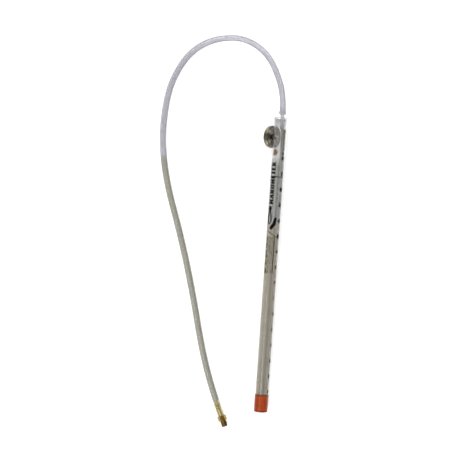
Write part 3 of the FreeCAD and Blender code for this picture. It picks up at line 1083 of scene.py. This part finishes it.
def wrapped(name, flat, material):
    """Wraps flat ink round the film. X runs round the tube to the right from its top, and Y up it."""
    strip = 0.5
    reach = [v.co.x for v in flat.verts]
    cut = math.floor(min(reach))
    while cut < max(reach):
        cut += strip
        everything = flat.verts[:] + flat.edges[:] + flat.faces[:]
        bmesh.ops.bisect_plane(flat, geom=everything, plane_co=(cut, 0, 0), plane_no=(1, 0, 0))
    for v in flat.verts:
        radius = INK_R[1] if v.co.z > 0.5 else INK_R[0]
        angle = v.co.x / INK_R[1]
        v.co = Vector((radius * math.sin(angle), v.co.y, radius * math.cos(angle))) * MM
    bmesh.ops.recalc_face_normals(flat, faces=flat.faces)
    mesh = bpy.data.meshes.new(name)
    flat.to_mesh(mesh)
    flat.free()
    mesh.materials.append(material)
    made = bpy.data.objects.new(name, mesh)
    made.matrix_world = GAUGE
    bpy.context.scene.collection.objects.link(made)
    return made


def add_shape(flat, outline):
    """Adds a flat shape, one unit thick, from its outline."""
    low = [flat.verts.new((x, y, 0)) for x, y in outline]
    high = [flat.verts.new((x, y, 1)) for x, y in outline]
    flat.faces.new(low[::-1])
    flat.faces.new(high)
    for i in range(len(outline)):
        j = (i + 1) % len(outline)
        flat.faces.new((low[i], low[j], high[j], high[i]))


def add_bar(flat, x, y, width, height):
    add_shape(flat, [(x, y), (x + width, y), (x + width, y + height), (x, y + height)])


def add_stroke(flat, start, end, thick):
    """A straight stroke between two points."""
    run = Vector(end) - Vector(start)
    side = Vector((-run.y, run.x)).normalized() * (thick / 2)
    corners = [Vector(start) - side, Vector(end) - side, Vector(end) + side, Vector(start) + side]
    add_shape(flat, [tuple(corner) for corner in corners])


def add_spot(flat, place, radii):
    outline = circle(1.0, 0.0, 32)
    add_shape(flat, [(place[0] + radii[0] * x, place[1] + radii[1] * z) for x, _, z in outline])


def add_words(flat, words, start, size, spread=1.0, bold=0.0, upward=True):
    """Adds words. Upward words read up the tube, with their tops to the left."""
    curve = bpy.data.curves.new("words", "FONT")
    curve.body = words
    curve.size = size
    curve.space_character = spread
    curve.offset = bold
    curve.extrude = 0.5
    curve.resolution_u = 3
    shown = bpy.data.objects.new("words", curve)
    bpy.context.scene.collection.objects.link(shown)
    bpy.context.view_layer.update()
    mesh = bpy.data.meshes.new_from_object(shown)
    letters = bmesh.new()
    letters.from_mesh(mesh)
    bmesh.ops.remove_doubles(letters, verts=letters.verts, dist=0.0001)
    for v in letters.verts:
        x, y = v.co.x, v.co.y
        if upward:
            x, y = -y, x
        v.co = Vector((start[0] + x, start[1] + y, round(v.co.z + 0.5)))
    letters.to_mesh(mesh)
    letters.free()
    flat.from_mesh(mesh)
    bpy.data.objects.remove(shown)
    bpy.data.curves.remove(curve)
    bpy.data.meshes.remove(mesh)


def arc_mm(degrees):
    """The distance round the film's outside for an angle from its top."""
    return math.radians(degrees) * INK_R[1]


def from_top(distance):
    return LENGTH - distance


def scale_marks(ink):
    """A line and a number for each unit, which drift round the tube a little on their way down it."""
    flat = bmesh.new()
    for k in range(MARK_COUNT):
        height = MARK_TOP - k * MARK_STEP
        turn = NUMBER_DEG + k * LABEL_TWIST_DEG
        add_bar(flat, arc_mm(turn - MARK_LEAD_DEG), height - MARK_THICK / 2, arc_mm(MARK_DEG), MARK_THICK)
        size, drop, bold = UPPER_NUMBERS if k < UPPER_COUNT else LOWER_NUMBERS
        add_words(flat, str(k), (arc_mm(turn), height - drop), size, bold=bold, upward=False)
    add_spot(flat, (arc_mm(NUMBER_DEG) + 1.5, from_top(SPOT_DOWN)), (2.2, 2.5))
    return wrapped("scale_marks", flat, ink)


def ring_line(ink):
    """A long line across the tube's front, and the slanted rule above the small print."""
    flat = bmesh.new()
    thick = 1.3
    add_bar(flat, arc_mm(-60), from_top(RING_LINE_DOWN) - thick / 2, arc_mm(128), thick)
    left, right = arc_mm(-57), arc_mm(20)
    rule = [(left, 182.9), (right, 191.3), (right, 192.5), (left, 184.1)]
    add_shape(flat, [(x, from_top(down)) for x, down in rule])
    return wrapped("ring_line", flat, ink)


def big_words(ink):
    """The large word, which reads up the tube."""
    flat = bmesh.new()
    base = arc_mm(LETTER_DEG)
    up = from_top(BIG_WORDS_DOWN)
    for letter in "MANOMETER":
        wide, strokes = WIDE_LETTERS[letter]
        for x0, y0, x1, y1, thick in strokes:
            start = (base - y0 * LETTER_TALL, up + x0 * wide)
            end = (base - y1 * LETTER_TALL, up + x1 * wide)
            add_stroke(flat, start, end, thick)
        up += wide + LETTER_GAP
    return wrapped("big_words", flat, ink)


def side_words(ink):
    """The unit, which reads up the tube's right-hand side."""
    flat = bmesh.new()
    add_words(flat, "IN. OF WATER", (arc_mm(64), from_top(SIDE_WORDS_DOWN)), 5.8, spread=0.88, bold=0.35)
    return wrapped("side_words", flat, ink)


def drop_sign(ink):
    """A plain drop in outline, with a solid slanted dash beside it."""
    flat = bmesh.new()
    middle_x, tip = arc_mm(-43), from_top(DROP_DOWN)
    outer = []
    inner = []
    count = 48
    for i in range(count):
        a = 2 * math.pi * i / count
        wide = math.sin(a) * math.sin(a / 2) ** 1.3
        tall = (1 - math.cos(a)) / 2
        outer.append((middle_x + 5.2 * wide, tip - 29.5 * tall))
        inner.append((middle_x + 0.5 + 1.9 * wide, tip - 8.0 - 19.4 * tall))
    for i in range(count):
        j = (i + 1) % count
        add_shape(flat, [outer[i], outer[j], inner[j], inner[i]])
    add_spot(flat, (middle_x, tip - 4.2), (3.0, 4.2))
    dash = [
        (1.0, 161.5),
        (4.6, 162.0),
        (3.6, 172.5),
        (-2.4, 181.4),
        (-6.4, 180.2),
        (-5.4, 175.8),
        (-1.8, 171.4),
    ]
    add_shape(flat, [(x, from_top(down)) for x, down in dash])
    return wrapped("drop_sign", flat, ink)


def fine_print(ink):
    """Lines of small marks that stand for instructions."""
    rng = random.Random(PRINT_SEED)
    flat = bmesh.new()
    for turn, width, word_low, word_high, gap in PRINT_COLUMNS:
        y = from_top(PRINT_DOWN[1])
        top = from_top(PRINT_DOWN[0])
        while y < top:
            word = rng.uniform(word_low, word_high)
            add_bar(flat, arc_mm(turn), y, width, min(word, top - y))
            y += word + gap
    return wrapped("fine_print", flat, ink)


# ---------------------------------------------------------------- stage

def soft_light(name, place, size, power):
    data = bpy.data.lights.new(name, "AREA")
    data.shape = "RECTANGLE"
    data.size, data.size_y = size
    data.energy = power
    lamp = bpy.data.objects.new(name, data)
    lamp.visible_camera = False
    lamp.location = place
    lamp.rotation_euler = (Vector(LIGHT_AIM_M) - Vector(place)).to_track_quat("-Z", "Y").to_euler()
    bpy.context.scene.collection.objects.link(lamp)


def stage():
    """The floor, the lamps and the even light round them."""
    mesh = bpy.data.meshes.new("floor")
    half = FLOOR_HALF_M
    corners = [(-half, -half, 0), (half, -half, 0), (half, half, 0), (-half, half, 0)]
    mesh.from_pydata(corners, [], [(0, 1, 2, 3)])
    mesh.materials.append(pale_floor())
    floor = bpy.data.objects.new("floor", mesh)
    bpy.context.scene.collection.objects.link(floor)
    for name, place, size, power in LIGHTS:
        soft_light(name, place, size, power)
    world = bpy.data.worlds.new("studio")
    world.use_nodes = True
    world.node_tree.nodes["Background"].inputs["Color"].default_value = grey(1.0)
    world.node_tree.nodes["Background"].inputs["Strength"].default_value = WORLD_STRENGTH
    bpy.context.scene.world = world
    bpy.context.scene.view_settings.view_transform = "Standard"


# ---------------------------------------------------------------- everything

camera_above()
hose_piece, hose_path = hose(vinyl_hose())
# Darker over the hexagon and thread, and darker again over the thread.
hex_and_thread_darkening = [(-0.0005, 0.0005, (0.62, 0.52, 0.35, 1)), (0.0078, 0.0086, (0.8, 0.72, 0.8, 1))]
brass = turned_metal("brass", (0.46, 0.385, 0.155, 1), (0.22, 0.17, 0.05, 1), (0.14, 0.28), hex_and_thread_darkening)
fitting_piece = hose_fitting(brass)
hung(hose_piece, "gauge", "clear_hose", "hose")
hung(fitting_piece, "gauge", "brass", "hose_fitting")

acrylic = clear_acrylic()
ink = printing_ink("black_ink", grey(0.001), grey(0.005))
olive_ink = printing_ink("olive_ink", (0.025, 0.023, 0.010, 1), (0.05, 0.046, 0.02, 1))
# Painted light on the cap: painted shade at its closed end and round its mouth, and a painted highlight in a
# band beside each.
cap_painted_light_bands = [
    (0.0040, 0.0022, (0.45, 0.35, 0.8, 1)),
    (0.0075, 0.0055, (1.15, 1.15, 1.5, 1)),
    (0.0215, 0.0235, (1.15, 1.3, 1.5, 1)),
    (0.0252, 0.0266, (0.5, 0.85, 1.6, 1)),
]
cap_vinyl = orange_vinyl("orange_vinyl", (0.152, 0.018, 0.0006, 1), (0.187, 0.023, 0.001, 1), cap_painted_light_bands)
vent_vinyl = orange_vinyl("vent_vinyl", (0.36, 0.115, 0.02, 1), (0.45, 0.15, 0.03, 1))
plating = turned_metal("plated_cup", (0.22, 0.20, 0.16, 1), (0.10, 0.09, 0.07, 1), (0.08, 0.2))
zinc = turned_metal("zinc_steel", (0.32, 0.31, 0.28, 1), (0.20, 0.19, 0.17, 1), (0.22, 0.4))

hung(outer_tube(acrylic), "gauge", "clear_tube", "outer_tube")
hung(label_film(label_plastic()), "gauge", "label_film", "scale_label")
hung(measuring_tube(acrylic), "gauge", "clear_tube", "measuring_tube")
hung(top_plug(clear_acrylic("clear_plug")), "gauge", "clear_plug", "top_plug")
hung(bottom_cap(cap_vinyl), "bottom_cap", "orange_vinyl", "bottom_cap")
hung(vent_plug(vent_vinyl), "vent_plug", "orange_vinyl", "vent_plug")
hung(magnet_cup(plating), "gauge", "plated_cup", "magnet_cup")
hung(magnet_ring(ferrite_stone()), "gauge", "ferrite", "magnet_ring")
hung(magnet_screw(zinc), "gauge", "zinc_steel", "magnet_screw")
hung(magnet_nut(zinc), "gauge", "zinc_steel", "magnet_nut")
hung(magnet_spacer(soft_rubber()), "gauge", "black_rubber", "magnet_spacer")
for printed in (scale_marks(ink), ring_line(ink), big_words(ink), drop_sign(ink)):
    hung(printed, "gauge", "black_ink")
for printed in (side_words(olive_ink), fine_print(olive_ink)):
    hung(printed, "gauge", "black_ink")

stage()
